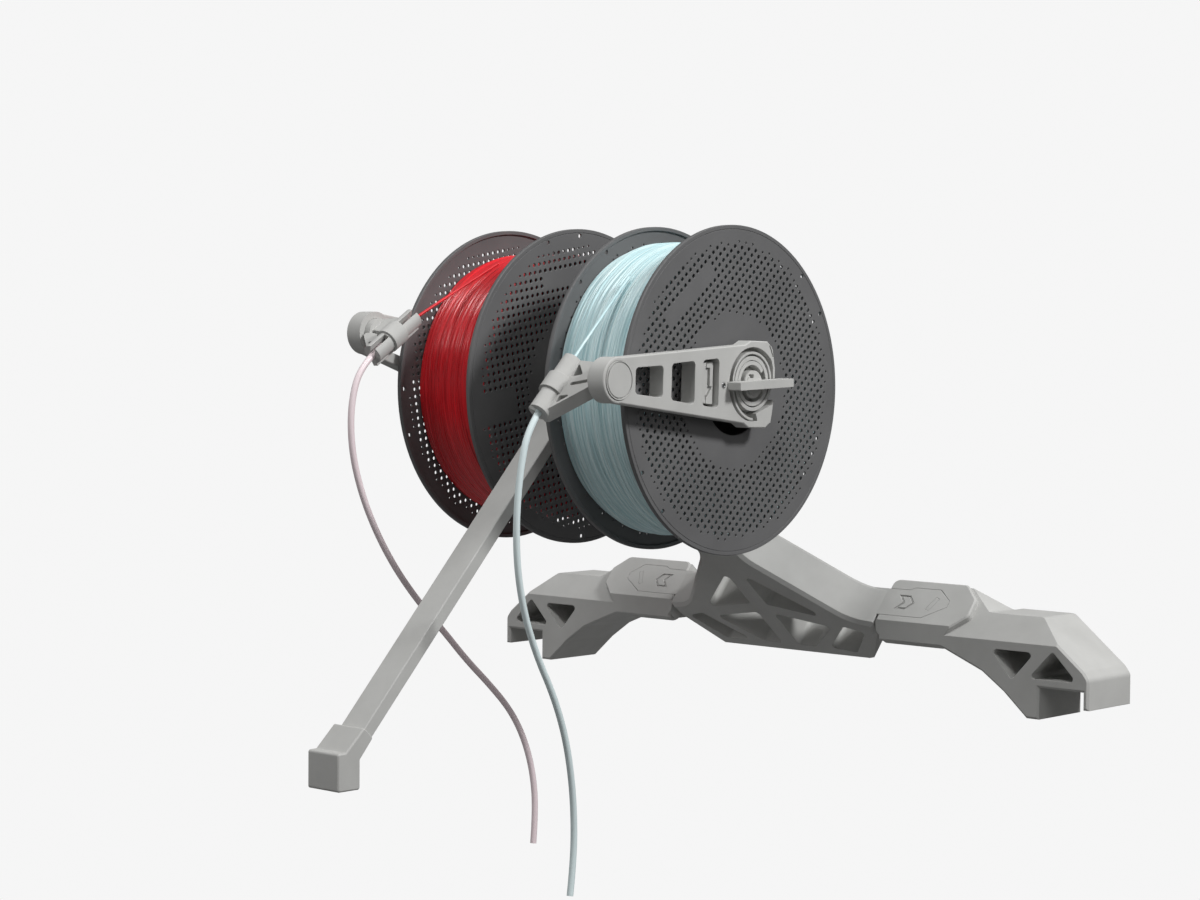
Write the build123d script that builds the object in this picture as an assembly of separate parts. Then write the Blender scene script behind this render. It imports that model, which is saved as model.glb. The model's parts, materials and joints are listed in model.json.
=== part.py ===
from build123d import *
import os
from math import cos, pi, radians, sin, tan

# Spool holder stand that hooks over the open top frame of a large desktop printer.
# +X right, +Y back, +Z up, millimetres.  The origin lies on the top of the frame's rim,
# midway between the two feet.

# ---------------------------------------------------------------- driving dimensions
RIGHT, LEFT = 1, -1
SIDES = ((RIGHT, "right"), (LEFT, "left"))

FRAME_HALF_WIDTH = 246.0          # outer side of the printer frame, from its middle
RIM_WIDTH = 32.0                  # top of the frame that a foot sits on
HOOK_WALL = 4.0
HOOK_DROP = 11.0
TAIL_WALL = 9.0
TAIL_DROP = 20.0
FOOT_DEPTH = 50.0                 # along Y

AXIS_Y, AXIS_Z = -180.0, 188.0    # mandrel axis, along X
LEAN = 50.0                       # the yoke plate leans this far forward from upright
PLATE_FRONT, PLATE_BACK, PLATE_EDGE = 24.0, -6.0, 2.4
MAST_HALF = 18.0
HUB_RADIUS, HUB_HALF = 26.0, 27.0

PAD_TOP = -218.4                  # pad face, measured along the plate from the mandrel axis
PAD_DEPTH = 33.0
PAD_RISE = 4.0                    # the pad stands this far above the foot's sloping face
TOP_ROUND, EDGE, PAD_EDGE = 5.0, 1.4, 1.0
POCKET_DEPTH = 12.0
SEAM = 0.2

MANDREL_RADIUS, MANDREL_BORE = 23.0, 19.0
MANDREL_END = 97.5                # outer end of the mandrel, from the middle
NUT_FLATS, NUT_HEIGHT, ROD_RADIUS = 13.0, 6.5, 4.0

STRUT_SLOPE = 47.0                # below horizontal
STRUT_LENGTH = 316.5
STRUT_OFFSET = 29.6               # its upper face passes this far above the mandrel axis
STRUT_WIDE, STRUT_THICK, STRUT_EDGE = 20.0, 8.0, 0.5
SHOE_WIDE = 26.0
CLIP_RADIUS = 31.0

SPOOL_RADIUS, SPOOL_BORE, SPOOL_DROP = 100.0, 27.15, 4.0
RIM_INNER = 97.5
FLANGE_DISC = {"inner": (31.5, 33.0), "outer": (94.0, 95.5)}     # faces of each thin disc
FLANGE_RIM = {"inner": (31.5, 34.5), "outer": (92.5, 95.5)}      # faces of its thicker rim
CORE_RADIUS, CORE_WALL = 42.0, 3.0
WINDING_RADIUS = {RIGHT: 91.0, LEFT: 85.0}

ARM_INNER, ARM_OUTER, ARM_EDGE = 99.5, 110.0, 0.6
ARM_REACH = 120.0                 # mandrel axis to boss axis
ARM_RAISED = {RIGHT: 1.65, LEFT: 14.0}
BOSS_RADIUS, BOSS_INNER = 13.35, 97.8
SPIGOT_RADIUS = 9.0
POCKET_RADIUS, ARM_FLOOR = 22.35, 2.8
JOURNAL_RADIUS, RUNNING_FIT = 13.0, 0.06
BUSH_RADIUS = 15.0
STEM_RADIUS, KNOB_RADIUS = 6.0, 8.4
HANDLE_LENGTH, HANDLE_THICK, HANDLE_TIP = 50.5, 5.2, 120.0
HANDLE_SHIFT, HANDLE_TILT = 1.4, 2.0
SPRING_RISE = 1.2                 # the coils sit this far above the pocket's middle
# Turn, inner radius and outer radius along the spring: close coils, an open one, and a tail.
SPRING_COILS = ((0.10, 10.0, 12.5), (1.60, 14.28, 16.78), (2.10, 17.0, 18.5), (2.52, 17.0, 18.5),
                (2.76, 21.6, 23.1))
RING_RADIUS, NOTCHES = 20.2, 36

GUIDE_X = 70.0                    # sleeve, from the middle
GUIDE_OFFSET = (-10.3, -4.3)      # sleeve centre from the boss axis, in Y and Z
GUIDE_SLOPE = 47.35               # sleeve below the arm's own line
SLEEVE_HALF, SLEEVE_RADIUS, COLLAR_RADIUS, SLEEVE_BORE = 20.5, 6.2, 7.7, 2.3
TUBE_RADIUS, FILAMENT_RADIUS = 2.0, 0.875

# Free cords, each from the object outwards.
TUBE_RIGHT = [(70, -317.70, 179.94), (70, -332.37, 164.91), (69, -338, 140), (68, -340, 112),
              (66, -337, 84), (64, -329, 57), (62, -316, 31), (60, -300, 7), (58, -288, -17),
              (56, -280, -42), (54, -275, -68), (53, -274, -94), (53, -277, -116)]
TUBE_LEFT = [(-70, -316.24, 209.58), (-70, -333.79, 198.03), (-70, -342, 175), (-70, -341.5, 148),
             (-70, -334, 122), (-69.5, -322, 97), (-69, -306, 73), (-68, -287, 51), (-67, -266, 31),
             (-66, -247, 11.5), (-65, -227, -6), (-64, -209, -24), (-63, -197, -44),
             (-62, -190, -67), (-61.5, -188, -91), (-61.5, -190, -112)]
STRAND_RIGHT = [(70, -301.6, 196.6), (68, -272.9, 224.4), (66, -243.6, 251.4)]
STRAND_LEFT = [(-70, -297.0, 222.4), (-69, -258.2, 242.4), (-68, -218.9, 261.5)]


# ---------------------------------------------------------------- helpers
def plate_frame(offset=0.0):
    """Frame of the leaning plate: origin on the mandrel axis, local Y up along the plate."""
    lean = radians(LEAN)
    plane = Plane(origin=(0, AXIS_Y, AXIS_Z), x_dir=(1, 0, 0), z_dir=(0, -cos(lean), -sin(lean)))
    return plane.offset(offset)


def pad_frame(level=0.0):
    """Frame on a pad's sloping face: local X right, local Y up the slope, origin at its front."""
    lean = radians(LEAN)
    front = Vector(0, -FOOT_DEPTH / 2, 33.0)
    plane = Plane(origin=front, x_dir=(1, 0, 0), z_dir=(0, -sin(lean), cos(lean)))
    return plane.offset(level)


def outline(points, radii=0.0):
    """Closed face through the points, with its corners rounded."""
    face = make_face(Polyline(*points, close=True))
    return fillet(face.vertices(), radii) if radii else face


def prism(points, plane, amount, radius=0.0):
    return extrude(plane * outline(points, radius), amount)


def rod(radius, x_from, x_to, y=0.0, z=0.0):
    """Cylinder along X, its axis placed from the mandrel axis."""
    disc = Plane((x_from, AXIS_Y + y, AXIS_Z + z), x_dir=(0, 1, 0), z_dir=(1, 0, 0)) * Circle(radius)
    return extrude(disc, x_to - x_from)


def pipe(outer, inner, x_from, x_to, y=0.0, z=0.0):
    return rod(outer, x_from, x_to, y, z) - rod(inner, x_from, x_to, y, z)


def side_sketch(sketch, x_from, x_to):
    """Extrude along X a sketch drawn in (Y, Z) from the mandrel axis."""
    plane = Plane((x_from, AXIS_Y, AXIS_Z), x_dir=(0, 1, 0), z_dir=(1, 0, 0))
    return extrude(plane * sketch, x_to - x_from)


def to_side(part, side):
    """The right-hand part, or its mirror image for the left."""
    return part if side == RIGHT else mirror(part, about=Plane.YZ)


def raise_arm(part, side):
    """Swing an arm piece up from level to where its side's arm rests."""
    axis = Axis((0, AXIS_Y, AXIS_Z), (-1, 0, 0))
    return part.rotate(axis, ARM_RAISED[side])


def soften(part, axis, size):
    """Chamfer the outer outline of the two faces at a part's ends along an axis."""
    faces = part.faces().sort_by(axis)
    rims = faces[0].outer_wire().edges() + faces[-1].outer_wire().edges()
    return chamfer(rims, size)


def half_space(plane, size=1000.0):
    """Everything on the outer side of a plane, as a large block."""
    return extrude(plane * Rectangle(size, size), size / 2)


def save(part, name):
    part.label = name
    export_step(part, f"parts/{name}.step")


# ---------------------------------------------------------------- stand
def foot():
    """Right foot: hook over the frame's side, tail inside it, truss, and sloping pad."""
    seat_in = FRAME_HALF_WIDTH - RIM_WIDTH
    hook_out = FRAME_HALF_WIDTH + HOOK_WALL
    profile = [(hook_out, -HOOK_DROP), (hook_out, 8), (246, 13), (209, 42.6), (168, 42.6),
               (145, 58), (90, 58), (90, 19), (140, 19), (171, 6.6), (187.5, -4.7),
               (seat_in - TAIL_WALL, -TAIL_DROP), (seat_in, -TAIL_DROP), (seat_in, 0),
               (FRAME_HALF_WIDTH, 0), (FRAME_HALF_WIDTH, -HOOK_DROP)]
    front = Plane((0, FOOT_DEPTH / 2, 0), x_dir=(1, 0, 0), z_dir=(0, -1, 0))
    shape = outline(profile)
    top = [v for v in shape.vertices() if v.X > 100 and v.Y > 5]
    shape = fillet(top, TOP_ROUND)
    body = soften(extrude(front * shape, FOOT_DEPTH), Axis.Y, EDGE)
    body -= half_space(pad_frame(-PAD_RISE))
    plate = [(88, -8), (139, -8), (157, 9), (157, 22), (146, PAD_DEPTH), (88, PAD_DEPTH)]
    pad = prism(plate, pad_frame(), -POCKET_DEPTH - 4, 5.0)
    pad = chamfer(pad.faces().sort_by(Axis.Z)[-1].outer_wire().edges(), PAD_EDGE)
    pad -= half_space(Plane((0, -FOOT_DEPTH / 2, 0), x_dir=(1, 0, 0), z_dir=(0, -1, 0)))
    body += pad
    back = Plane((0, -3.8, 58.3), x_dir=(1, 0, 0), z_dir=(0, sin(radians(40)), cos(radians(40))))
    body -= half_space(back) & Pos(115, 0, 50) * Box(110, 200, 200)
    for triangle in foot_windows():
        body -= prism(triangle, front, FOOT_DEPTH, 2.2)
    body -= prism(tongue_outline(0), pad_frame(), -POCKET_DEPTH)
    body -= key_slot(0)
    return body


def foot_windows():
    """The two triangular openings of the truss, in (X, Z)."""
    return [(178, 21.5), (211, 21.5), (194, 3.0)], [(224, 23.5), (242, 5.5), (206, 5.0)]


def tongue_outline(gap):
    """Pointed end of the yoke's arm, in the pad's face, shrunk by a gap."""
    return [(70, 4 + gap), (122 - gap, 4 + gap), (138 - gap, 14), (138 - gap, 19),
            (128 - gap, 27 - gap), (108, 27 - gap), (104, 25 - gap), (70, 25 - gap)]


def key_slot(gap):
    """Slanted slot that the locking key fills, through the tongue into the foot."""
    slot = pad_frame() * Pos(126, 15.5) * Rot(0, 0, 65) * Rectangle(11 - 2 * gap, 3.2 - 2 * gap)
    return extrude(slot, -POCKET_DEPTH - 3 + gap)


def side_mark():
    """Shallow arrowhead that points to the side a foot belongs to."""
    mark = [(98, 9.5), (107, 9.5), (112, 15), (107, 20.5), (98, 20.5), (103, 15)]
    shape = outline(mark) - offset(outline(mark), amount=-1.3)
    return extrude(pad_frame() * shape, -0.8)


def yoke():
    """Leaning plate: truss between the feet, mast up between the spools, and hub."""
    half = [(MAST_HALF, -18), (MAST_HALF, -154), (70, -216.5), (87, PAD_TOP), (84, -231),
            (64, -262), (0, -262)]
    right = Polyline(*half)
    left = Polyline(*[(-x, u) for x, u in half])
    shape = make_face(Curve() + [right, left, Line(half[0], (-MAST_HALF, -18))])
    soft = shape.vertices().filter_by_position(Axis.Y, -217, -140)
    shape = fillet(soft, 28)
    for hole in yoke_holes():
        shape -= outline(hole, 3.0)
    plate = extrude(plate_frame(PLATE_BACK) * shape, PLATE_FRONT - PLATE_BACK)
    plate = soften(plate, Axis((0, 0, 0), plate_frame().z_dir), PLATE_EDGE)
    plate += rod(HUB_RADIUS, -HUB_HALF, HUB_HALF)
    for side, _ in SIDES:
        tongue = prism(tongue_outline(SEAM), pad_frame(), -POCKET_DEPTH + SEAM) - key_slot(0)
        plate += to_side(tongue - side_mark(), side)
    plate -= rod(ROD_RADIUS + 0.2, -HUB_HALF, HUB_HALF)
    return plate


def yoke_holes():
    holes = []
    for s in (1, -1):
        holes.append([(s * 7, -172), (s * 52, -216), (s * 7, -206)])
        holes.append([(s * 7, -216), (s * 50, -226), (s * 22, -252), (s * 7, -252)])
        holes.append([(s * 61, -224), (s * 76, -229), (s * 56, -254), (s * 34, -252)])
    return holes


def strut():
    """Front brace: a flat bar with an open clip that snaps over the hub."""
    down, up = strut_directions()
    origin = Vector(0, AXIS_Y, AXIS_Z) + up * STRUT_OFFSET + down * (STRUT_LENGTH / 2)
    face = Plane(origin=origin, x_dir=(1, 0, 0), z_dir=up)
    bar = extrude(face * Rectangle(STRUT_WIDE, STRUT_LENGTH), -STRUT_THICK)
    bar = chamfer(bar.edges().sort_by_distance(origin + up * STRUT_OFFSET)[:4], STRUT_EDGE)
    part = bar + rod(CLIP_RADIUS, -STRUT_WIDE / 2, STRUT_WIDE / 2) - rod(HUB_RADIUS + 0.15, -40, 40)
    mouth = plate_frame(PLATE_BACK - 3) * Pos(0, -CLIP_RADIUS, 18) * Box(60, 2 * CLIP_RADIUS - 18, 36)
    return part - mouth


def strut_directions():
    """Unit vectors down along the brace and up from its upper face."""
    slope = radians(STRUT_SLOPE)
    return Vector(0, -cos(slope), -sin(slope)), Vector(0, -sin(slope), cos(slope))


def strut_shoe():
    """Lower end of the brace: a hooked shoe that bears on the inside of the front beam."""
    down, up = strut_directions()
    tip = Vector(0, AXIS_Y, AXIS_Z) + up * STRUT_OFFSET + down * STRUT_LENGTH
    y, z = tip.Y, tip.Z
    profile = [(y - 2, z + 4), (y + 12, z + 17), (y + 19, z + 10.5), (y + 9, z - 1), (y + 9, z - 18),
               (y - 8, z - 18), (y - 8, z + 4)]
    side = Plane((-SHOE_WIDE / 2, 0, 0), x_dir=(0, 1, 0), z_dir=(1, 0, 0))
    block = soften(prism(profile, side, SHOE_WIDE, 1.5), Axis.X, 0.8)
    return block - strut()


def tie_rod():
    return rod(ROD_RADIUS, -42, 42)


def tie_nuts():
    """Two nuts that clamp the mandrels to the hub."""
    nuts = []
    for x_from in (31, -31 - NUT_HEIGHT):
        hexagon = RegularPolygon(NUT_FLATS / 2, 6, major_radius=False) - Circle(ROD_RADIUS)
        nuts.append(side_sketch(hexagon, x_from, x_from + NUT_HEIGHT))
    return Compound(children=nuts)


def key():
    return key_slot(SEAM / 2)


def mandrel():
    """Hollow mandrel with a shoulder against the hub and an inner wall for the nut."""
    body = pipe(MANDREL_RADIUS, MANDREL_BORE, HUB_HALF, MANDREL_END)
    body += pipe(HUB_RADIUS, MANDREL_BORE, HUB_HALF, HUB_HALF + 3)
    return body + pipe(MANDREL_BORE, ROD_RADIUS + 0.2, HUB_HALF, 31)


def mandrel_plug():
    """End plug: journal for the arm, notched ring, and the lock's socket and cross slot."""
    plug = rod(MANDREL_BORE, 90, MANDREL_END) + rod(JOURNAL_RADIUS, MANDREL_END, 103)
    plug += side_sketch(notched_disc(), MANDREL_END, 99.2)
    plug -= rod(STEM_RADIUS + RUNNING_FIT, 92.6, 103)
    plug -= rod(9.3, 92.6, 96.4)
    return plug - side_sketch(Rectangle(3.6, 18.4), 96, 103)


def notched_disc():
    disc = Circle(RING_RADIUS)
    notch = Polygon((RING_RADIUS - 1.1, 0), (RING_RADIUS + 1, 1.4), (RING_RADIUS + 1, -1.4), align=None)
    for step in range(NOTCHES):
        disc -= Rot(0, 0, 360 * step / NOTCHES) * notch
    return disc


# ---------------------------------------------------------------- swinging arm
def arm_outline():
    """Arm in (Y, Z) from the mandrel axis: round boss in front, squared end behind."""
    lower = [(-ARM_REACH + 2, -13.2), (-8, -23.6), (-3, -26.2), (13, -26.2), (17.5, -23), (20.4, -10)]
    upper = [(y, -z) for y, z in reversed(lower)]
    web = Polygon(*lower, *upper, align=None)
    return web + Pos(-ARM_REACH, 0) * Circle(BOSS_RADIUS)


def arm_windows():
    shapes = []
    for y_from, y_to, half_from, half_to in ((-106, -82, 7.6, 9.4), (-74.5, -53.8, 10.6, 12.8),
                                             (-46.5, -32, 13.4, 14.8)):
        shapes.append(outline([(y_from, -half_from), (y_to, -half_to), (y_to, half_to),
                               (y_from, half_from)], 2.5))
    return shapes


def arm():
    """Windowed arm with a boss for the guide and a round pocket for the spring."""
    body = side_sketch(arm_outline(), ARM_INNER, ARM_OUTER)
    body = soften(body, Axis.X, ARM_EDGE)
    body += rod(BOSS_RADIUS, BOSS_INNER, ARM_OUTER - 1, y=-ARM_REACH)
    for window in arm_windows():
        body -= side_sketch(window, ARM_INNER, ARM_OUTER)
    body -= rod(POCKET_RADIUS, ARM_INNER + ARM_FLOOR, ARM_OUTER)
    end_wall = Polygon((15.6, 19.6), (18.6, 10), (19.0, 4), (20.4, 4), (20.4, 10), (18.0, 21.0),
                       (16.2, 22.6), align=None)
    corner = Polygon((5, -21.9), (13, -24), (17.5, -23), (18.9, -16), (19.4, -12), (16.4, -12.7),
                     (3.5, -17.7), align=None)
    body += side_sketch(end_wall + corner, ARM_INNER + ARM_FLOOR, ARM_OUTER)
    body -= rod(BUSH_RADIUS, ARM_INNER, ARM_OUTER)
    corner_slit = Pos(16.6, 20.4) * Rot(0, 0, -62) * SlotOverall(8, 0.9)
    body -= side_sketch(corner_slit, ARM_OUTER - 4, ARM_OUTER)
    body -= rod(SPIGOT_RADIUS + SEAM / 2, BOSS_INNER, ARM_OUTER, y=-ARM_REACH)
    body -= rod(11.5, 107.4, ARM_OUTER, y=-ARM_REACH)
    return body - rod(1.8, ARM_INNER, ARM_OUTER, y=-27.5, z=-1)


def arm_cap():
    """Ringed disc that closes the boss."""
    cap = rod(11.3, 107.5, ARM_OUTER + 0.6, y=-ARM_REACH)
    ring = pipe(10.6, 10.0, ARM_OUTER, ARM_OUTER + 0.6, y=-ARM_REACH)
    return cap - ring - rod(4.2, 107.5, 108.7, y=-ARM_REACH)


def guide_screw():
    shank = rod(2.0, 96, 106, y=-ARM_REACH)
    driver_slot = side_sketch(Pos(-ARM_REACH, 0) * Rectangle(5, 0.9), 107.7, 108.6)
    return shank + rod(4.0, 106, 108.6, y=-ARM_REACH) - driver_slot


def arm_bush():
    return pipe(BUSH_RADIUS, JOURNAL_RADIUS + RUNNING_FIT, ARM_INNER, ARM_INNER + 3.2)


def spiral(column, steps=14):
    """Points of one side of the spring, from its table of coils."""
    points = []
    for before, after in zip(SPRING_COILS, SPRING_COILS[1:]):
        for step in range(steps):
            share = step / steps
            angle = 2 * pi * (before[0] + (after[0] - before[0]) * share)
            radius = before[column] + (after[column] - before[column]) * share
            points.append((radius * cos(angle), radius * sin(angle)))
    turn, radius = SPRING_COILS[-1][0], SPRING_COILS[-1][column]
    return points + [(radius * cos(2 * pi * turn), radius * sin(2 * pi * turn))]


def spring():
    """Flat spiral spring: close coils, one open coil, and a tail that runs out to the wall."""
    inner, outer = Spline(*spiral(1)), Spline(*spiral(2))
    strip = make_face(Curve() + [inner, outer, Line(inner @ 0, outer @ 0), Line(inner @ 1, outer @ 1)])
    return side_sketch(Pos(0, SPRING_RISE) * strip, 103.2, 109.4)


def detent_leaf():
    """Curved leaf in the third window, its nose beside the notched ring."""
    body = outline([(-43.9, -11.8), (-32.8, -12.6), (-32.8, 12.6), (-43.9, 11.8)], 1.5)
    leaf = side_sketch(body, 98.2, 107.4) - rod(60, 103, 112, y=18)
    leaf += side_sketch(body & Pos(-36.2, 0) * Rectangle(6, 30), 98.2, 106.2)
    arrow = Polygon((-42.6, -2), (-38.2, -8.5), (-33.8, -2), (-36, -2), (-36, 9), (-40.4, 9),
                    (-40.4, -2), align=None)
    leaf -= side_sketch(arrow, 104.6, 108)
    nose = Polygon((-34, -4), (-21.2, -1), (-20.7, 0), (-21.2, 1), (-34, 4), align=None)
    return leaf + side_sketch(nose, 97.8, 99.2)


def detent_pin():
    """Split spring pin, C-shaped in section."""
    section = Circle(1.75) - Circle(0.9) - Pos(1.2, 0.9) * Rectangle(1.6, 1.2)
    return side_sketch(Pos(-27.5, -1) * section, ARM_INNER, ARM_OUTER + 0.4)


def guide():
    """Strand guide: spigot, forked plate, and a sleeve of three staggered half shells."""
    slope = radians(GUIDE_SLOPE)
    y = AXIS_Y - ARM_REACH + GUIDE_OFFSET[0]
    z = AXIS_Z + GUIDE_OFFSET[1]
    flat = Plane((GUIDE_X, y, z), x_dir=(1, 0, 0), z_dir=(0, -sin(slope), cos(slope)))
    end = Plane((GUIDE_X, y, z), x_dir=(1, 0, 0), z_dir=(0, cos(slope), sin(slope)))
    plate = [(0, -SLEEVE_HALF), (3.5, -SLEEVE_HALF), (27, 0.5), (27, 18.5), (6, SLEEVE_HALF),
             (0, SLEEVE_HALF)]
    body = extrude(flat.offset(-8.2) * outline(plate), 8.6)
    body += extrude(end.offset(-SLEEVE_HALF) * Circle(SLEEVE_RADIUS), 2 * SLEEVE_HALF)
    body += extrude(end.offset(-6) * Circle(COLLAR_RADIUS), 11.5)
    body -= prism([(7.2, 18.2), (7.2, 7.2), (15.5, 9.5)], flat.offset(-9), 20, 0.8)
    body -= prism([(8.6, -7.6), (16.5, -6.4), (8.6, -13.8)], flat.offset(-9), 20, 0.8)
    slot = Pos(17, 3.2) * Rot(0, 0, 14) * SlotOverall(12.5, 2.6)
    body -= extrude(flat.offset(-5) * slot, 14)
    for low, high, turn in ((6.5, 21.5, -35), (-21.5, -7, -35), (-5, 4.5, 145)):
        gap = end.offset(low) * Rot(0, 0, turn) * Pos(0, -5) * Rectangle(3.4, 10)
        body -= extrude(gap, high - low)
    body += rod(SPIGOT_RADIUS, 93.5, 106, y=-ARM_REACH)
    body -= extrude(end.offset(-30) * Circle(SLEEVE_BORE), 60)
    body -= rod(2.05, 96, 106, y=-ARM_REACH)
    return body


# ---------------------------------------------------------------- lock knob
def knob():
    """Quarter-turn knob: stem, stepped disc and bar handle."""
    body = rod(STEM_RADIUS, 93.2, 103.4) + rod(KNOB_RADIUS, 103.4, ARM_OUTER + 0.2)
    body += rod(6.6, ARM_OUTER, ARM_OUTER + 1.0)
    body -= side_sketch(Pos(-2.5, 4.9) * Rectangle(3.4, 2.2), 107, 112)
    bar = RectangleRounded(HANDLE_LENGTH, HANDLE_THICK, 0.8)
    grip = Rot(0, 0, HANDLE_TILT) * Pos(HANDLE_SHIFT, 0) * bar
    body += side_sketch(grip, ARM_OUTER + 0.2, HANDLE_TIP)
    return body - cross_pin_hole()


def cross_pin_hole():
    along_y = Plane((94.8, AXIS_Y - 10, AXIS_Z), x_dir=(1, 0, 0), z_dir=(0, 1, 0))
    return extrude(along_y * Circle(1.5), 20)


def cross_pin():
    along_y = Plane((94.8, AXIS_Y - 8.5, AXIS_Z), x_dir=(1, 0, 0), z_dir=(0, 1, 0))
    return extrude(along_y * Circle(1.45), 17)


# ---------------------------------------------------------------- spool
def flange(kind):
    """Thin disc, flush on the outside with a thicker rim."""
    disc = pipe(SPOOL_RADIUS, SPOOL_BORE, *FLANGE_DISC[kind], z=-SPOOL_DROP)
    return disc + pipe(SPOOL_RADIUS, RIM_INNER, *FLANGE_RIM[kind], z=-SPOOL_DROP)


def between_flanges(outer, inner, gap=0.0):
    """Ring that spans the space between the two discs."""
    near, far = FLANGE_DISC["inner"][1], FLANGE_DISC["outer"][0]
    return pipe(outer, inner, near + gap, far - gap, z=-SPOOL_DROP)


def spool_core():
    return between_flanges(CORE_RADIUS, CORE_RADIUS - CORE_WALL)


def winding(side):
    return between_flanges(WINDING_RADIUS[side], CORE_RADIUS, gap=0.1)


# ---------------------------------------------------------------- cords
def cord(points, radius, name):
    """Straight runs joined by tangent arcs as large as the two runs allow."""
    corners = [Vector(*p) for p in points]
    radii = []
    for before, here, after in zip(corners, corners[1:], corners[2:]):
        turn = (here - before).get_angle(after - here)
        shorter = min((here - before).length, (after - here).length)
        radii.append(0.45 * shorter / tan(radians(turn) / 2))
    path = FilletPolyline(*corners, radius=radii)
    start = Plane(origin=path @ 0, z_dir=path % 0)
    tube = sweep(start * Circle(radius), path=path)
    expected = pi * radius ** 2 * path.length
    print(name, "length %.1f" % path.length, "volume ratio %.4f" % (tube.volume / expected),
          "smallest radius %.1f" % min(radii))
    return tube


def main():
    os.makedirs("parts", exist_ok=True)
    for side, name in SIDES:
        save(to_side(foot(), side), f"foot_{name}")
        save(to_side(key(), side), f"lock_key_{name}")
        save(to_side(mandrel(), side), f"mandrel_{name}")
        save(to_side(mandrel_plug(), side), f"mandrel_plug_{name}")
        for make in (arm, arm_cap, guide_screw, arm_bush, spring, detent_leaf, detent_pin, guide):
            save(raise_arm(to_side(make(), side), side), f"{make.__name__}_{name}")
        save(to_side(knob(), side), f"knob_{name}")
        save(to_side(cross_pin(), side), f"knob_pin_{name}")
        save(to_side(flange("outer"), side), f"outer_flange_{name}")
        save(to_side(flange("inner"), side), f"inner_flange_{name}")
        save(to_side(spool_core(), side), f"spool_core_{name}")
        save(to_side(winding(side), side), f"filament_winding_{name}")
    save(yoke(), "yoke")
    save(strut(), "strut")
    save(strut_shoe(), "strut_shoe")
    save(tie_rod(), "tie_rod")
    save(tie_nuts(), "tie_nuts")
    save(cord(TUBE_RIGHT, TUBE_RADIUS, "tube_right"), "tube_right")
    save(cord(TUBE_LEFT, TUBE_RADIUS, "tube_left"), "tube_left")
    save(cord(STRAND_RIGHT, FILAMENT_RADIUS, "strand_right"), "filament_strand_right")
    save(cord(STRAND_LEFT, FILAMENT_RADIUS, "strand_left"), "filament_strand_left")


main()
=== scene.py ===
"""Looks for the spool holder stand: materials, perforated flanges, wound filament and feed tubes."""

import json
from math import cos, pi, radians, sin

import bmesh
import bpy
from mathutils import Matrix, Vector, noise


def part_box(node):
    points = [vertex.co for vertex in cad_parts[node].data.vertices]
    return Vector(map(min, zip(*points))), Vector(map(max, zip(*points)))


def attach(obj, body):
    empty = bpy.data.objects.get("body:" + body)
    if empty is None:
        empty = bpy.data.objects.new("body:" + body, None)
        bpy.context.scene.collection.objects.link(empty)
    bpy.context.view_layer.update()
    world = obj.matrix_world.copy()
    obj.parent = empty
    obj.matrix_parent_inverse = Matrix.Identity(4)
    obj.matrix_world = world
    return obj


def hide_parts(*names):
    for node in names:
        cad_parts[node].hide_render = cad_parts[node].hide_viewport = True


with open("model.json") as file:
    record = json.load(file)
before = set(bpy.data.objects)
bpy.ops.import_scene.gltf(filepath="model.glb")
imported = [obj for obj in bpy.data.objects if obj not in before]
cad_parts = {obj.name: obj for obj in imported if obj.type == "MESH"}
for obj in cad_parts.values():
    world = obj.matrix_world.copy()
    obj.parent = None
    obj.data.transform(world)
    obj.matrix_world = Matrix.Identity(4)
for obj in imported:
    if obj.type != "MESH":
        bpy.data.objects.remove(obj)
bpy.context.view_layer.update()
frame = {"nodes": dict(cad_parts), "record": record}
NODES = frame["nodes"]

SIDES = (("right", 1), ("left", -1))
FILAMENT = {"right": "cyan_filament", "left": "red_filament"}
MM = 0.001


# ---------------------------------------------------------------- camera and stage
CAMERA_AT = Vector((1.12459, -1.41976, 0.21937))
CAMERA_YAW, CAMERA_PITCH, CAMERA_ROLL = 42.58, -2.562, 0.433      # degrees
CAMERA_LENS, CAMERA_SENSOR = 79.78, 36                            # mm
CAMERA_REACH = 60
FLOOR_Z, FLOOR_RADIUS, FLOOR_SIDES = -1.4, 4.4, 96
FLOOR_PAINT, FLOOR_ROUGHNESS = 0.85, 0.9
FLOOR_COVER = 0.4                                                 # the backdrop shows through the rest
BACKDROP = 0.92
# Sine of the height above the horizon, and how brightly the surroundings light the stand from there.
GLOW = ((-1.0, 0.02), (-0.2, 0.03), (0.2, 0.20), (1.0, 0.22))
# Name, place, size and power of each lamp; all of them point at LIT_POINT.
LIGHTS = (("key", (1.75, 0.15, 1.45), 0.4, 33), ("front", (0.2, -1.0, 1.9), 0.6, 14),
          ("side", (2.3, -0.9, 0.9), 0.8, 4), ("fill", (-1.0, -1.6, 1.0), 0.8, 5),
          ("back", (-0.5, 1.6, 1.6), 1.2, 3))
LIT_POINT = Vector((0, -0.17, 0.1))


def make_camera():
    data = bpy.data.cameras.new("camera")
    data.lens = CAMERA_LENS
    data.sensor_width = CAMERA_SENSOR
    data.clip_end = CAMERA_REACH
    camera = bpy.data.objects.new("camera", data)
    bpy.context.scene.collection.objects.link(camera)
    turn = (Matrix.Rotation(radians(CAMERA_YAW), 4, "Z")
            @ Matrix.Rotation(radians(90 + CAMERA_PITCH), 4, "X")
            @ Matrix.Rotation(radians(CAMERA_ROLL), 4, "Z"))
    camera.matrix_world = Matrix.Translation(CAMERA_AT) @ turn
    bpy.context.scene.camera = camera


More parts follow.
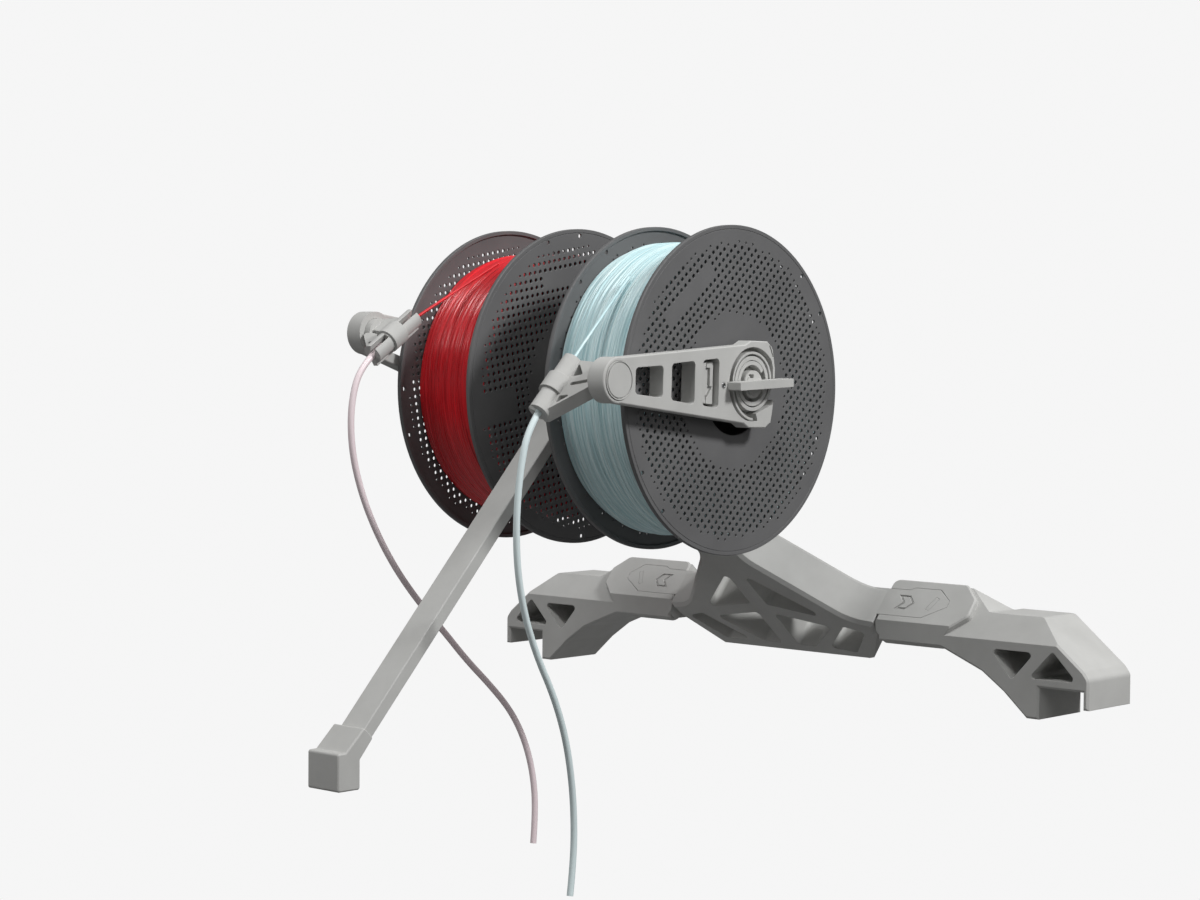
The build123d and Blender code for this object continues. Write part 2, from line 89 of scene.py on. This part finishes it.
def area_light(name, at, size, power):
    data = bpy.data.lights.new(name, "AREA")
    data.shape = "DISK"
    data.size = size
    data.energy = power
    light = bpy.data.objects.new(name, data)
    bpy.context.scene.collection.objects.link(light)
    light.location = at
    light.rotation_euler = (LIT_POINT - Vector(at)).to_track_quat("-Z", "Y").to_euler()


def make_world():
    """Plain surroundings: an even pale backdrop, and a soft glow that fades towards the ground."""
    world = bpy.data.worlds.new("studio")
    world.use_nodes = True
    tree = world.node_tree
    coords = tree.nodes.new("ShaderNodeTexCoord")
    split = tree.nodes.new("ShaderNodeSeparateXYZ")
    height = add_node(tree, "ShaderNodeMapRange", From_Min=-1.0, From_Max=1.0)
    ramp = tree.nodes.new("ShaderNodeValToRGB")
    tree.links.new(coords.outputs["Generated"], split.inputs["Vector"])
    tree.links.new(split.outputs["Z"], height.inputs["Value"])
    tree.links.new(height.outputs["Result"], ramp.inputs["Fac"])
    for _ in GLOW[2:]:
        ramp.color_ramp.elements.new(0.5)
    for element, (place, shade) in zip(ramp.color_ramp.elements, GLOW):
        element.position = (place + 1) / 2
        element.color = (shade, shade, shade, 1)
    cast = tree.nodes["Background"]
    tree.links.new(ramp.outputs["Color"], cast.inputs["Color"])
    seen = add_node(tree, "ShaderNodeBackground", Color=(BACKDROP, BACKDROP, BACKDROP, 1))
    path = tree.nodes.new("ShaderNodeLightPath")
    mix = tree.nodes.new("ShaderNodeMixShader")
    tree.links.new(path.outputs["Is Camera Ray"], mix.inputs["Fac"])
    tree.links.new(cast.outputs["Background"], mix.inputs[1])
    tree.links.new(seen.outputs["Background"], mix.inputs[2])
    tree.links.new(mix.outputs["Shader"], tree.nodes["World Output"].inputs["Surface"])
    bpy.context.scene.world = world


def make_stage():
    """Plain pale floor well below the stand, and soft lights."""
    corners = [(x, y, FLOOR_Z) for x, y in circle_points(0, 0, FLOOR_RADIUS, FLOOR_SIDES)]
    paint = shader("floor_paint", [FLOOR_PAINT] * 3, FLOOR_ROUGHNESS, Alpha=FLOOR_COVER)[0]
    floor = new_piece("floor", corners, [tuple(range(FLOOR_SIDES))], paint, smooth=False)
    for name, at, size, power in LIGHTS:
        area_light(name, at, size, power)
    make_world()
    bpy.context.scene.view_settings.view_transform = "Standard"


# ---------------------------------------------------------------- materials
PRINT_LAYER, CELL_LAYERS = 0.2 * MM, 2.2
# Noise cells per metre along X, Y and Z: layer lines, filament streaks and turning marks.
LAYER_LINES = (60.0, 60.0, 1.0 / PRINT_LAYER / CELL_LAYERS)
STREAKS = (900, 14, 14)
TURNING_MARKS = (4000, 300, 300)
EDGE_SAMPLES = 6


def shader(name, colour, roughness, **sockets):
    """New Principled material, with constants set on the shader's own sockets."""
    material = bpy.data.materials.new(name)
    material.use_nodes = True
    bsdf = material.node_tree.nodes["Principled BSDF"]
    bsdf.inputs["Base Color"].default_value = (*colour, 1)
    bsdf.inputs["Roughness"].default_value = roughness
    for socket, value in sockets.items():
        bsdf.inputs[socket.replace("_", " ")].default_value = value
    return material, material.node_tree, bsdf


def add_node(tree, kind, **inputs):
    """New node with constants on its sockets; an underscore stands for a space in a socket's name."""
    node = tree.nodes.new(kind)
    for name, value in inputs.items():
        node.inputs[name.replace("_", " ")].default_value = value
    return node


def object_coords(tree, scale=(1, 1, 1)):
    coords = tree.nodes.new("ShaderNodeTexCoord")
    mapping = tree.nodes.new("ShaderNodeMapping")
    mapping.inputs["Scale"].default_value = scale
    tree.links.new(coords.outputs["Object"], mapping.inputs["Vector"])
    return mapping.outputs["Vector"]


def vary_colour(tree, bsdf, factor, low, high, start=0.35, end=0.65):
    """Blend two shades by a noise factor."""
    ramp = tree.nodes.new("ShaderNodeValToRGB")
    ramp.color_ramp.elements[0].position = start
    ramp.color_ramp.elements[0].color = (*low, 1)
    ramp.color_ramp.elements[1].position = end
    ramp.color_ramp.elements[1].color = (*high, 1)
    tree.links.new(factor, ramp.inputs["Fac"])
    tree.links.new(ramp.outputs["Color"], bsdf.inputs["Base Color"])


def add_bump(tree, bsdf, height, distance, strength):
    bump = add_node(tree, "ShaderNodeBump", Strength=strength, Distance=distance)
    tree.links.new(height, bump.inputs["Height"])
    tree.links.new(bump.outputs["Normal"], bsdf.inputs["Normal"])
    return bump


def round_edges(tree, bump, radius):
    """Shade sharp edges as if they were rounded by this radius."""
    bevel = add_node(tree, "ShaderNodeBevel", Radius=radius)
    bevel.samples = EDGE_SAMPLES
    tree.links.new(bevel.outputs["Normal"], bump.inputs["Normal"])


def printed_plastic(name, low, high):
    """Matte printed plastic: faint layer lines, fine grain and slight shade changes."""
    material, tree, bsdf = shader(name, high, 0.62, Specular_IOR_Level=0.35)
    coords = object_coords(tree)
    cloud = add_node(tree, "ShaderNodeTexNoise", Scale=35, Detail=4, Roughness=0.6)
    tree.links.new(coords, cloud.inputs["Vector"])
    vary_colour(tree, bsdf, cloud.outputs["Fac"], low, high, 0.3, 0.7)
    lines = add_node(tree, "ShaderNodeTexNoise", Scale=1, Detail=1, Roughness=0.4)
    tree.links.new(object_coords(tree, LAYER_LINES), lines.inputs["Vector"])
    bump = add_bump(tree, bsdf, lines.outputs["Fac"], 0.05 * MM, 0.5)
    round_edges(tree, bump, 0.6 * MM)
    return material


def moulded_plastic(name, low, high, roughness=0.48):
    """Moulded spool plastic: fine spark texture."""
    material, tree, bsdf = shader(name, high, roughness, Specular_IOR_Level=0.4)
    cloud = add_node(tree, "ShaderNodeTexNoise", Scale=22, Detail=3, Roughness=0.55)
    tree.links.new(object_coords(tree), cloud.inputs["Vector"])
    vary_colour(tree, bsdf, cloud.outputs["Fac"], low, high)
    grain = add_node(tree, "ShaderNodeTexNoise", Scale=2600, Detail=2, Roughness=0.5)
    tree.links.new(object_coords(tree), grain.inputs["Vector"])
    bump = add_bump(tree, bsdf, grain.outputs["Fac"], 0.03 * MM, 0.6)
    round_edges(tree, bump, 0.4 * MM)
    return material


def filament_plastic(name, low, high, roughness, coat):
    """Extruded filament: smooth gloss with long streaks of shade along the winding."""
    material, tree, bsdf = shader(name, high, roughness, Coat_Weight=coat, Coat_Roughness=0.25,
                                  Specular_IOR_Level=0.5)
    streak = add_node(tree, "ShaderNodeTexNoise", Scale=1, Detail=3, Roughness=0.6)
    tree.links.new(object_coords(tree, STREAKS), streak.inputs["Vector"])
    vary_colour(tree, bsdf, streak.outputs["Fac"], low, high, 0.3, 0.7)
    return material


def tube_plastic(name, low, high):
    """Smooth soft tube, tinted by the strand inside it."""
    material, tree, bsdf = shader(name, high, 0.32, Specular_IOR_Level=0.5)
    cloud = add_node(tree, "ShaderNodeTexNoise", Scale=9, Detail=1, Roughness=0.5)
    tree.links.new(object_coords(tree), cloud.inputs["Vector"])
    vary_colour(tree, bsdf, cloud.outputs["Fac"], low, high)
    return material


def brushed_metal(name, colour):
    """Bare metal with fine marks around X, as turning leaves them."""
    material, tree, bsdf = shader(name, colour, 0.34, Metallic=1.0)
    grain = add_node(tree, "ShaderNodeTexNoise", Scale=1, Detail=2, Roughness=0.5)
    tree.links.new(object_coords(tree, TURNING_MARKS), grain.inputs["Vector"])
    bump = add_bump(tree, bsdf, grain.outputs["Fac"], 0.02 * MM, 0.4)
    round_edges(tree, bump, 0.3 * MM)
    return material


def make_materials():
    """Every material by its name; a pair of shades is the darkest and the lightest."""
    return {
        "grey_print": printed_plastic("grey_print", (0.485, 0.485, 0.470), (0.540, 0.540, 0.525)),
        "dark_spool": moulded_plastic("dark_spool", (0.128, 0.128, 0.130), (0.148, 0.148, 0.150)),
        "cyan_filament": filament_plastic("cyan_filament", (0.40, 0.64, 0.68), (0.82, 0.98, 0.99),
                                          roughness=0.38, coat=0.2),
        "red_filament": filament_plastic("red_filament", (0.50, 0.004, 0.010), (0.90, 0.018, 0.030),
                                         roughness=0.30, coat=0.5),
        "ptfe_right": tube_plastic("ptfe_right", (0.74, 0.86, 0.87), (0.80, 0.91, 0.92)),
        "ptfe_left": tube_plastic("ptfe_left", (0.90, 0.76, 0.79), (0.95, 0.82, 0.85)),
        "bush_plastic": moulded_plastic("bush_plastic", (0.10, 0.10, 0.10), (0.13, 0.13, 0.13),
                                        roughness=0.4),
        "steel": brushed_metal("steel", (0.56, 0.57, 0.58)),
    }


# ---------------------------------------------------------------- mesh helpers
def new_piece(name, verts, faces, material, smooth=True):
    mesh = bpy.data.meshes.new(name)
    mesh.from_pydata(verts, [], faces)
    mesh.update()
    piece = bpy.data.objects.new(name, mesh)
    bpy.context.scene.collection.objects.link(piece)
    mesh.materials.append(material)
    if smooth:
        mesh.polygons.foreach_set("use_smooth", [True] * len(mesh.polygons))
    return piece


def stand_for(piece, node, body):
    """Let a piece take the place of a CAD node on a body."""
    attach(piece, body)
    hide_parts(node)


def circle_points(x, y, radius, count):
    return [(x + radius * cos(2 * pi * k / count), y + radius * sin(2 * pi * k / count))
            for k in range(count)]


def turned(x, y, degrees):
    turn = radians(degrees)
    return x * cos(turn) - y * sin(turn), x * sin(turn) + y * cos(turn)


# ---------------------------------------------------------------- cords
# The same points as the tubes and strands of the stand, in metres.
ROUTES = {
    "tube_right": [(0.070, -0.31770, 0.17994), (0.070, -0.33237, 0.16491), (0.069, -0.338, 0.140),
                   (0.068, -0.340, 0.112), (0.066, -0.337, 0.084), (0.064, -0.329, 0.057),
                   (0.062, -0.316, 0.031), (0.060, -0.300, 0.007), (0.058, -0.288, -0.017),
                   (0.056, -0.280, -0.042), (0.054, -0.275, -0.068), (0.053, -0.274, -0.094),
                   (0.053, -0.277, -0.116)],
    "tube_left": [(-0.070, -0.31624, 0.20958), (-0.070, -0.33379, 0.19803), (-0.070, -0.342, 0.175),
                  (-0.070, -0.3415, 0.148), (-0.070, -0.334, 0.122), (-0.0695, -0.322, 0.097),
                  (-0.069, -0.306, 0.073), (-0.068, -0.287, 0.051), (-0.067, -0.266, 0.031),
                  (-0.066, -0.247, 0.0115), (-0.065, -0.227, -0.006), (-0.064, -0.209, -0.024),
                  (-0.063, -0.197, -0.044), (-0.062, -0.190, -0.067), (-0.0615, -0.188, -0.091),
                  (-0.0615, -0.190, -0.112)],
    "filament_strand_right": [(0.070, -0.3016, 0.1966), (0.068, -0.2729, 0.2244),
                              (0.066, -0.2436, 0.2514)],
    "filament_strand_left": [(-0.070, -0.2970, 0.2224), (-0.069, -0.2582, 0.2424),
                             (-0.068, -0.2189, 0.2615)],
}
TUBE_WIDE, STRAND_WIDE = 4.0 * MM, 1.75 * MM


def make_cord(node, side, diameter, material, slot, **facts):
    """Smooth NURBS curve with the route's points as its control points."""
    points = ROUTES[node]
    data = bpy.data.curves.new(node, "CURVE")
    data.dimensions = "3D"
    data.bevel_depth = diameter / 2
    data.bevel_resolution = 6
    data.use_fill_caps = True
    spline = data.splines.new("NURBS")
    spline.points.add(len(points) - 1)
    for point, place in zip(spline.points, points):
        point.co = (*place, 1)
    spline.order_u = 3
    spline.use_endpoint_u = True
    spline.resolution_u = 12
    data.materials.append(material)
    piece = bpy.data.objects.new(node + "_look", data)
    bpy.context.scene.collection.objects.link(piece)
    stand_for(piece, node, "arm_" + side)


def make_cords(materials):
    for side, _ in SIDES:
        filament = FILAMENT[side]
        make_cord("tube_" + side, side, TUBE_WIDE, materials["ptfe_" + side], "ptfe_tube",
                  far_end="bare", stiffness="stiff", lay="hanging")
        make_cord("filament_strand_" + side, side, STRAND_WIDE, materials[filament], filament,
                  far_end="object", stiffness="stiff", lay="taut")


# ---------------------------------------------------------------- perforated flanges
BORE, BORE_SIDES = 27.15 * MM, 72
RIM_INNER, RIM_SIDES = 97.5 * MM, 160
DISC_THICK, SOFT = 1.5 * MM, 0.25 * MM
HOLE_PITCH, HOLE_RADIUS, HOLE_SIDES = 4.63 * MM, 1.2 * MM, 8
HOLE_SHIFT = (0.37, 0.23)                        # of the grid from the axis, in pitches
FIELD_INNER, FIELD_OUTER, FIELD_BORDER = 46.5 * MM, 90.5 * MM, 2.8 * MM
BORDER_SHRINK = 0.6                              # size of the holes along the field's borders
RIM_HOLE_RADIUS, RIM_HOLE_CIRCLE, RIM_HOLE_SIDES = 1.3 * MM, 95.6 * MM, 12
RIM_HOLE_SPREAD = 8.9                            # degrees to each side of the pair's middle
# Areas without holes, in the hole grid's own directions: centre and half size.
STRIP = ((2.2 * MM, 70.7 * MM), (25.7 * MM, 6.2 * MM))
PANEL = ((-76 * MM, 0.0), (14.5 * MM, 8.5 * MM))
SPOOL_TURN = {"right": 38.5, "left": 10.0}       # degrees that each spool is turned at rest


def hole_rings(turn, kind):
    """Square grid of small holes in a ring-shaped field, and two pairs of holes near the rim."""
    plain = (STRIP,) if kind == "outer" else (STRIP, PANEL)
    rings = []
    count = int(FIELD_OUTER / HOLE_PITCH) + 1
    for row in range(-count, count + 1):
        for column in range(-count, count + 1):
            x, y = (column - HOLE_SHIFT[0]) * HOLE_PITCH, (row - HOLE_SHIFT[1]) * HOLE_PITCH
            reach = (x * x + y * y) ** 0.5
            covered = any(abs(x - at[0]) < half[0] and abs(y - at[1]) < half[1] for at, half in plain)
            if FIELD_INNER < reach < FIELD_OUTER and not covered:
                border = min(reach - FIELD_INNER, FIELD_OUTER - reach) < FIELD_BORDER
                radius = HOLE_RADIUS * (BORDER_SHRINK if border else 1.0)
                rings.append(circle_points(*turned(x, y, turn), radius, HOLE_SIDES))
    first = turn if kind == "outer" else turn + 90
    for angle in (first, first + 180):
        for spread in (-RIM_HOLE_SPREAD, RIM_HOLE_SPREAD):
            x, y = turned(RIM_HOLE_CIRCLE, 0, angle + spread)
            rings.append(circle_points(x, y, RIM_HOLE_RADIUS, RIM_HOLE_SIDES))
    return rings


def flat_plate(name, rings, thick):
    """Mesh of a plate between closed rings, with softened edges, lying in XY."""
    data = bpy.data.curves.new(name, "CURVE")
    data.dimensions = "2D"
    data.fill_mode = "BOTH"
    data.extrude = thick / 2 - SOFT
    data.bevel_depth = SOFT
    data.bevel_resolution = 0
    data.offset = -SOFT
    for ring in rings:
        spline = data.splines.new("POLY")
        spline.points.add(len(ring) - 1)
        for point, (x, y) in zip(spline.points, ring):
            point.co = (x, y, 0, 1)
        spline.use_cyclic_u = True
    holder = bpy.data.objects.new(name, data)
    bpy.context.scene.collection.objects.link(holder)
    bpy.context.view_layer.update()
    mesh = bpy.data.meshes.new_from_object(holder)
    bpy.data.objects.remove(holder)
    return mesh


def make_flange(side, kind, outward, material):
    """Thin perforated disc, flush on the outside with a thicker rim, stood up to face along X."""
    node = f"{kind}_flange_{side}"
    low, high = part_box(node)
    centre = (low + high) / 2
    thick = high.x - low.x
    edge = circle_points(0, 0, (high.y - low.y) / 2, RIM_SIDES)
    step = circle_points(0, 0, RIM_INNER, RIM_SIDES)
    disc = [step, circle_points(0, 0, BORE, BORE_SIDES)] + hole_rings(SPOOL_TURN[side], kind)
    shape = bmesh.new()
    shape.from_mesh(flat_plate(node + "_disc", disc, DISC_THICK))
    bmesh.ops.translate(shape, verts=shape.verts, vec=(0, 0, outward * (thick - DISC_THICK) / 2))
    shape.from_mesh(flat_plate(node + "_rim", [edge, step], thick))
    mesh = bpy.data.meshes.new(node + "_look")
    shape.to_mesh(mesh)
    shape.free()
    z_to_x = Matrix(((0, 0, 1), (1, 0, 0), (0, 1, 0))).to_4x4()
    mesh.transform(Matrix.Translation(centre) @ z_to_x)
    mesh.materials.append(material)
    piece = bpy.data.objects.new(node + "_look", mesh)
    bpy.context.scene.collection.objects.link(piece)
    stand_for(piece, node, "spool_" + side)


# ---------------------------------------------------------------- wound filament
STRAND_PITCH, STRAND_STEPS, WINDING_STEPS = 1.75 * MM, 6, 240
CORE_RADIUS = 42.2 * MM
SIDE_INSET, SHOULDER_DROP = 5.0 * MM, 5.0 * MM
WINDING_SEED = {"right": 3.0, "left": 11.0}
RIDGE, LIFT, SWAY = 0.6 * MM, 1.0 * MM, 1.6 * MM      # a strand's relief, rise and wander
# Noise cells from one strand to the next, and the radius of a turn in noise cells.
LIFT_PACE, LIFT_REACH = 0.8, 1.8
SWAY_PACE, SWAY_REACH = 0.35, 1.3
SURFACE_DROP = 1.1 * MM
END_DROP, END_SHARE = 1.5 * MM, 1 / 12                # how the winding falls off at each end


def noise_at(place, angle, reach):
    """Smooth noise that closes on itself around the winding."""
    return noise.noise(Vector((place, cos(angle) * reach, sin(angle) * reach)))


def winding_section(low, high, radius, angle, seed):
    """Outline of the wound filament at one angle, as (x, radius): ridges that wander and lift.

    The ridges calm down and drop a little near both ends.
    """
    strands = int((high - low) / STRAND_PITCH)
    across = strands * STRAND_STEPS
    section = [(low + SIDE_INSET, CORE_RADIUS), (low + SIDE_INSET, radius - SHOULDER_DROP)]
    for k in range(across + 1):
        share = k / across
        strand, phase = min(k // STRAND_STEPS, strands - 1), (k % STRAND_STEPS) / STRAND_STEPS
        sway = noise_at(strand * SWAY_PACE + seed, angle, SWAY_REACH)
        lift = noise_at(strand * LIFT_PACE - seed, angle, LIFT_REACH)
        inside = min(1.0, min(share, 1 - share) / END_SHARE)
        ridge = RIDGE * (sin(pi * phase) - 1) + LIFT * lift
        x = low + (high - low) * share + SWAY * sway * inside
        section.append((x, radius - SURFACE_DROP + ridge - END_DROP * (1 - inside)))
    return section + [(high - SIDE_INSET, radius - SHOULDER_DROP), (high - SIDE_INSET, CORE_RADIUS)]


def make_winding(side, materials):
    """Wound filament: each strand is its own ridge, and the sides stand off the discs."""
    node = "filament_winding_" + side
    low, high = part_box(node)
    centre = (low + high) / 2
    verts, faces = [], []
    for step in range(WINDING_STEPS):
        angle = 2 * pi * step / WINDING_STEPS
        section = winding_section(low.x, high.x, (high.y - low.y) / 2, angle, WINDING_SEED[side])
        verts += [(x, centre.y + r * cos(angle), centre.z + r * sin(angle)) for x, r in section]
    count = len(verts) // WINDING_STEPS
    for step in range(WINDING_STEPS):
        here, after = step * count, (step + 1) % WINDING_STEPS * count
        for k in range(count):
            beside = (k + 1) % count
            faces.append((here + k, after + k, after + beside, here + beside))
    piece = new_piece(node + "_look", verts, faces, materials[FILAMENT[side]])
    stand_for(piece, node, "spool_" + side)


# ---------------------------------------------------------------- everything else
def dress_nodes(materials):
    """Give each CAD node its slot's material; only the hidden CAD tubes have a slot without one."""
    slots = {part["node"]: part["material_slot"] for part in frame["record"]["subparts"]}
    for name, node in NODES.items():
        material = materials.get(slots[name], materials["ptfe_right"])
        node.data.materials.clear()
        node.data.materials.append(material)


def main():
    make_camera()
    materials = make_materials()
    make_cords(materials)
    make_stage()
    dress_nodes(materials)
    for side, sign in SIDES:
        make_flange(side, "outer", sign, materials["dark_spool"])
        make_flange(side, "inner", -sign, materials["dark_spool"])
    for side, _ in SIDES:
        make_winding(side, materials)


main()
